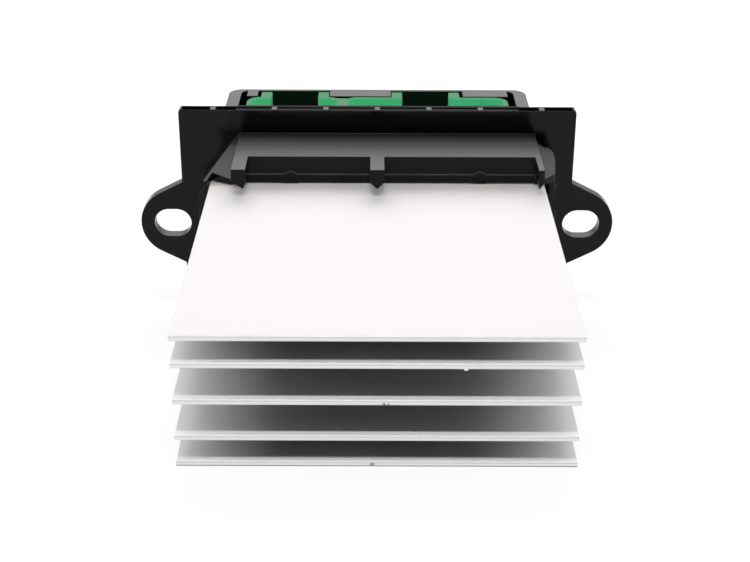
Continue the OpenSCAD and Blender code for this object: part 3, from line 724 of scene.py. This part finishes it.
@dataclass
class PhotoCamera:
    """Camera at the photograph's place, turned by pitch, yaw and roll from a level view along +Y."""

    place: Point = (-0.54 * MM, -296.7 * MM, 127.7 * MM)
    pitch: float = math.radians(25.57)
    yaw: float = math.radians(0.031)
    roll: float = math.radians(0.206)
    focal_px: float = 1445.0
    image_px: float = 750.0
    sensor: float = 36.0
    clip_start: float = 10.0 * MM

    def build(self) -> None:
        """Makes the camera and puts it in use."""
        data = bpy.data.cameras.new("photo_camera")
        data.sensor_width = self.sensor
        data.sensor_fit = "HORIZONTAL"
        data.lens = self.sensor * self.focal_px / self.image_px
        data.clip_start = self.clip_start
        camera = bpy.data.objects.new("photo_camera", data)
        bpy.context.scene.collection.objects.link(camera)
        turn = Matrix.Rotation(-self.yaw, 4, "Z") @ Matrix.Rotation(math.pi / 2 - self.pitch, 4, "X")
        camera.matrix_world = Matrix.Translation(self.place) @ turn @ Matrix.Rotation(self.roll, 4, "Z")
        bpy.context.scene.camera = camera


@dataclass(frozen=True)
class Softbox:
    """An oblong area lamp that looks at the part and doesn't show itself."""

    name: str
    place: Point
    size: Span
    power: float


@dataclass
class Studio:
    """White surroundings, soft lamps and the floor on which the part rests."""

    softboxes: tuple[Softbox, ...] = (
        Softbox("softbox_back", (0.0, 0.45, 0.4), (0.6, 0.5), 2.5),
        Softbox("softbox_top", (0.0, -0.23, 0.59), (0.2, 0.08), 1.2),
        Softbox("softbox_left", (-0.5, -0.1, 0.25), (0.3, 0.3), 0.55),
        Softbox("softbox_right", (0.5, -0.1, 0.25), (0.3, 0.3), 0.55),
    )
    aim: Point = (0.0, -0.03, 0.0)
    world_level: float = 0.25
    floor_albedo: float = 0.8
    shown_floor_glow: Span = (0.797, 1.0)
    glow_reach: Span = (0.1, 0.45)
    shown_floor_albedo: float = 0.25
    floor_reach: float = 0.7
    front_reach: float = 0.3

    def build(self) -> None:
        """Sets the view transform, the surroundings, the lamps and the floor."""
        bpy.context.scene.view_settings.view_transform = "Standard"
        self.surroundings()
        for softbox in self.softboxes:
            self.lamp(softbox)
        self.floor()

    def shown(self, tree: bpy.types.NodeTree) -> Socket:
        """Factor that is 1 for rays that show the background: camera, glossy and transmission rays.

        Args:
            tree: The node tree that needs it.

        Returns:
            The factor socket.
        """
        path = tree.nodes.new("ShaderNodeLightPath")
        total = path.outputs["Is Camera Ray"]
        for name in ("Is Glossy Ray", "Is Transmission Ray"):
            node = tree.nodes.new("ShaderNodeMath")
            node.operation = "MAXIMUM"
            tree.links.new(total, node.inputs[0])
            tree.links.new(path.outputs[name], node.inputs[1])
            total = node.outputs[0]
        return total

    def surroundings(self) -> None:
        """White world for the rays that show it, and plain soft light for the rest."""
        world = bpy.data.worlds.new("white_surroundings")
        bpy.context.scene.world = world
        world.use_nodes = True
        tree = world.node_tree
        tree.nodes.clear()
        output = tree.nodes.new("ShaderNodeOutputWorld")
        mix = tree.nodes.new("ShaderNodeMixShader")
        tree.links.new(self.shown(tree), mix.inputs["Fac"])
        for level, socket in ((self.world_level, mix.inputs[1]), (1.0, mix.inputs[2])):
            light = tree.nodes.new("ShaderNodeBackground")
            light.inputs["Strength"].default_value = level
            light.inputs["Color"].default_value = (1.0, 1.0, 1.0, 1.0)
            tree.links.new(light.outputs[0], socket)
        tree.links.new(mix.outputs[0], output.inputs["Surface"])

    def lamp(self, softbox: Softbox) -> None:
        """Hangs one softbox.

        Args:
            softbox: Its place, size and power.
        """
        data = bpy.data.lights.new(softbox.name, "AREA")
        data.shape = "RECTANGLE"
        data.size, data.size_y = softbox.size
        data.energy = softbox.power
        lamp = bpy.data.objects.new(softbox.name, data)
        lamp.visible_camera = False
        bpy.context.scene.collection.objects.link(lamp)
        to_aim = Vector(self.aim) - Vector(softbox.place)
        turn = to_aim.to_track_quat("-Z", "Y").to_matrix().to_4x4()
        lamp.matrix_world = Matrix.Translation(softbox.place) @ turn

    def floor(self) -> None:
        """Plane through the edges on which the part rests: the flange's foot and the lowest fin's tip."""
        fin_low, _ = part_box("heat_sink")
        foot_low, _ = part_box("housing")
        slope = (foot_low.z - fin_low.z) / -fin_low.y
        reach, front = self.floor_reach, -self.front_reach
        outline = ((-reach, front), (reach, front), (reach, reach), (-reach, reach))
        mesh = bpy.data.meshes.new("floor")
        mesh.from_pydata([(x, y, foot_low.z + slope * y) for x, y in outline], [], [(0, 1, 2, 3)])
        floor = bpy.data.objects.new("floor", mesh)
        bpy.context.scene.collection.objects.link(floor)
        floor.data.materials.append(self.floor_material())

    def floor_material(self) -> bpy.types.Material:
        """Pale floor that shows white and takes a faint shadow near the part.

        Returns:
            The floor's material.
        """
        material = bpy.data.materials.new("pale_floor")
        material.use_nodes = True
        tree = material.node_tree
        tree.nodes.clear()
        output = tree.nodes.new("ShaderNodeOutputMaterial")
        mix = tree.nodes.new("ShaderNodeMixShader")
        lit = tree.nodes.new("ShaderNodeBsdfDiffuse")
        lit.inputs["Color"].default_value = (*[self.floor_albedo] * 3, 1.0)
        glow = tree.nodes.new("ShaderNodeEmission")
        place = tree.nodes.new("ShaderNodeTexCoord")
        distance = tree.nodes.new("ShaderNodeVectorMath")
        distance.operation = "LENGTH"
        tree.links.new(place.outputs["Object"], distance.inputs[0])
        level = tree.nodes.new("ShaderNodeMapRange")
        level.inputs["From Min"].default_value, level.inputs["From Max"].default_value = self.glow_reach
        level.inputs["To Min"].default_value, level.inputs["To Max"].default_value = self.shown_floor_glow
        tree.links.new(distance.outputs["Value"], level.inputs["Value"])
        tree.links.new(level.outputs["Result"], glow.inputs["Strength"])
        shade = tree.nodes.new("ShaderNodeBsdfDiffuse")
        shade.inputs["Color"].default_value = (*[self.shown_floor_albedo] * 3, 1.0)
        both = tree.nodes.new("ShaderNodeAddShader")
        tree.links.new(glow.outputs[0], both.inputs[0])
        tree.links.new(shade.outputs[0], both.inputs[1])
        tree.links.new(self.shown(tree), mix.inputs["Fac"])
        tree.links.new(lit.outputs[0], mix.inputs[1])
        tree.links.new(both.outputs[0], mix.inputs[2])
        tree.links.new(mix.outputs[0], output.inputs["Surface"])
        return material


@dataclass
class CadGroup:
    """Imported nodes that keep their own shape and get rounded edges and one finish."""

    nodes: tuple[str, ...]
    finish: Finish
    rounding: Rounding

    def build(self, frame: dict) -> list[bpy.types.Object]:
        """Rounds and dresses each node.

        Args:
            frame: The loaded frame.

        Returns:
            The nodes' objects.
        """
        material = self.finish.material()
        pieces = [frame["nodes"][name] for name in self.nodes]
        for piece in pieces:
            self.rounding.apply(piece)
            dress(piece, material)
        return pieces


def surface(name: str, grids: np.ndarray, material: bpy.types.Material) -> bpy.types.Object:
    """Makes one piece of grids that are closed round their last parameter.

    Each grid holds points in rows along a profile and columns round it. A face joins four neighbours, and
    the last column joins the first. The ends of a profile lie on its axis or inside the part.

    Args:
        name: The piece's name.
        grids: Points in metres, as copies by rows by columns by 3.
        material: The finish.

    Returns:
        The piece, which rides on the part.
    """
    copies, rows, columns, _ = grids.shape
    index = np.arange(copies * rows * columns).reshape(copies, rows, columns)
    after = np.roll(index, -1, axis=2)
    faces = np.stack([index[:, :-1], after[:, :-1], after[:, 1:], index[:, 1:]], axis=-1).reshape(-1, 4)
    mesh = bpy.data.meshes.new(name)
    mesh.from_pydata(grids.reshape(-1, 3).tolist(), [], faces.tolist())
    mesh.polygons.foreach_set("use_smooth", np.ones(len(mesh.polygons), dtype=bool))
    piece = bpy.data.objects.new(name, mesh)
    bpy.context.scene.collection.objects.link(piece)
    dress(piece, material)
    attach(piece, BODY)
    return piece


def turned(profile: np.ndarray, centres: np.ndarray, columns: int = 32) -> np.ndarray:
    """Profiles turned about axes along Y: a point is its centre plus (r cos a, height, r sin a).

    Args:
        profile: Radius and height of each row, in metres.
        centres: Foot of each axis, in metres.
        columns: Points round the axis.

    Returns:
        Points as copies by rows by columns by 3.
    """
    angle = np.linspace(0.0, -2.0 * math.pi, columns, endpoint=False)
    radius, height = profile[:, 0, None], profile[:, 1, None]
    ring = np.stack([radius * np.cos(angle), height + 0.0 * angle, radius * np.sin(angle)], axis=-1)
    return centres[:, None, None, :] + ring[None]


@dataclass
class SolderJoints:
    """Solder round the six transistor legs where they leave the board's back."""

    foot_r: float = 1.0 * MM
    leg_r: float = 0.3 * MM
    height: float = 0.8 * MM
    sunk: float = 0.05 * MM
    pitch: float = 2.54 * MM
    transistor_x: float = 8.5 * MM
    leg_w: float = 0.8 * MM
    rows: int = 9

    def build(self, frame: dict) -> list[bpy.types.Object]:
        """Builds the hollow cones: the radius falls with the square of the share of height still to climb.

        Args:
            frame: The loaded frame.

        Returns:
            The pieces.
        """
        share = np.linspace(0.0, 1.0, self.rows)
        radius = self.leg_r + (self.foot_r - self.leg_r) * (1.0 - share) ** 2
        profile = np.stack([radius, share * (self.height + self.sunk) - self.sunk], axis=1)
        leg_low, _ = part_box("transistor_leads")
        _, board_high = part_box("circuit_board")
        legs = np.array([-1.0, 0.0, 1.0]) * self.pitch
        xs = (np.array([[-1.0], [1.0]]) * self.transistor_x + legs).reshape(-1)
        centres = np.stack(
            [xs, np.full(xs.shape, board_high.y), np.full(xs.shape, leg_low.z + self.leg_w / 2)], axis=1)
        return [surface("solder_joints", turned(profile, centres), TINNED_LEAD.material())]


@dataclass
class MouldMarks:
    """Rings that the ejector pins leave on the flange's back and on the cover, and the cover's gate."""

    pin_r: float = 1.5 * MM
    ring_w: float = 0.22 * MM
    ring_h: float = 0.07 * MM
    sunk: float = 0.03 * MM
    gate_r: float = 0.9 * MM
    gate_h: float = 0.22 * MM
    gate_rise: float = 4.0
    gate_dish: float = 0.35
    flange_back: float = 3.0 * MM
    flange_x: float = 38.4 * MM
    flange_zs: Span = (21.5 * MM, -17.5 * MM)
    cover_inset: float = 7.0 * MM
    rows: int = 13

    def ring(self) -> np.ndarray:
        """Profile of a ring: an arch over its width, one half of a sine wave high."""
        share = np.linspace(0.0, 1.0, self.rows)
        return np.stack(
            [self.pin_r + (share - 0.5) * self.ring_w,
             (self.ring_h + self.sunk) * np.sin(math.pi * share) - self.sunk], axis=1)[::-1]

    def gate(self) -> np.ndarray:
        """Profile of the gate: a steep wall, then a top that dishes with the square of the way inwards."""
        share = np.linspace(0.0, 1.0, self.rows)
        height = self.gate_h * np.minimum(1.0, self.gate_rise * share) * (1.0 - self.gate_dish * share**2)
        return np.stack([self.gate_r * (1.0 - share), height - self.sunk], axis=1)

    def build(self, frame: dict) -> list[bpy.types.Object]:
        """Builds the rings and the gate.

        Args:
            frame: The loaded frame.

        Returns:
            The pieces.
        """
        cover_low, cover_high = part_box("rear_cover")
        middle_z = (cover_low.z + cover_high.z) / 2
        flange_xs = (-self.flange_x, self.flange_x)
        flange = np.array([(x, self.flange_back, z) for z in self.flange_zs for x in flange_xs])
        cover = np.array([(cover_low.x + self.cover_inset, cover_high.y, middle_z),
                          (cover_high.x - self.cover_inset, cover_high.y, middle_z)])
        gate = np.array([(0.0, cover_high.y, middle_z)])
        moulding, lid = BLACK_MOULDING.material(), BLACK_COVER.material()
        return [
            surface("flange_pin_marks", turned(self.ring(), flange), moulding),
            surface("cover_pin_marks", turned(self.ring(), cover), lid),
            surface("cover_gate", turned(self.gate(), gate), lid),
        ]


@dataclass
class FinBurr:
    """Flake of metal that hangs from the front edge of the second fin."""

    place: Point = (15.0 * MM, -83.25 * MM, 9.12 * MM)
    half: Point = (0.42 * MM, 0.14 * MM, 0.34 * MM)
    lobes: float = 3.0
    lobe_share: float = 0.18
    rows: int = 12
    columns: int = 20

    def build(self, frame: dict) -> list[bpy.types.Object]:
        """Builds the flake: an ellipsoid whose width swells with the sine of three turns round it.

        Args:
            frame: The loaded frame.

        Returns:
            The piece.
        """
        down = np.linspace(0.0, math.pi, self.rows)[:, None]
        angle = np.linspace(0.0, 2.0 * math.pi, self.columns, endpoint=False)[None, :]
        swell = 1.0 + self.lobe_share * np.sin(self.lobes * angle) * np.sin(down)
        unit = np.stack(
            [np.sin(down) * np.cos(angle) * swell, np.sin(down) * np.sin(angle) * swell,
             -np.cos(down) + 0.0 * angle], axis=-1)
        grid = np.array(self.place) + unit * np.array(self.half)
        return [surface("fin_burr", grid[None], ALUMINIUM.material())]


def main() -> None:
    """Builds the studio and every sub-assembly in order."""
    logging.basicConfig(level=logging.INFO, format="%(name)s: %(message)s")
    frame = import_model()
    PhotoCamera().build()
    Studio().build()
    assemblies = (
        CadGroup(("heat_sink",), ALUMINIUM, Rounding(0.12 * MM, 3)),
        CadGroup(("housing",), BLACK_MOULDING, Rounding(0.14 * MM)),
        CadGroup(("rear_cover",), BLACK_COVER, Rounding(0.25 * MM)),
        CadGroup(("connector_header",), GREEN_MOULDING, Rounding(0.15 * MM)),
        CadGroup(
            ("motor_blade_left", "motor_blade_right", "supply_blade_left", "supply_blade_right",
             "signal_pin_left", "signal_pin_right"),
            TINNED, Rounding(0.1 * MM),
        ),
        CadGroup(("circuit_board",), BOARD_LAMINATE, Rounding(0.08 * MM)),
        CadGroup(("board_screws", "transistor_screws", "sink_screws"), ZINC, Rounding(0.12 * MM)),
        CadGroup(
            ("power_transistor_left", "power_transistor_right", "control_chip", "chip_resistors"),
            EPOXY, Rounding(0.1 * MM),
        ),
        CadGroup(("transistor_leads",), TINNED_LEAD, Rounding(0.08 * MM)),
        CadGroup(("thermal_pad",), SILICONE, Rounding(0.05 * MM)),
        CadGroup(("filter_capacitor",), CAPACITOR_CAN, Rounding(0.3 * MM)),
        CadGroup(("surge_disc",), ORANGE_EPOXY, Rounding(0.5 * MM)),
        CadGroup(("shunt_strip",), SHUNT_ALLOY, Rounding(0.08 * MM)),
        CadGroup(("thermal_cutout",), CUTOUT_CASE, Rounding(0.15 * MM)),
        SolderJoints(),
        MouldMarks(),
        FinBurr(),
    )
    for assembly in assemblies:
        for piece in assembly.build(frame):
            LOG.info("%s dressed as %s", piece.name, piece.data.materials[0].name)


if __name__ == "__main__":
    main()
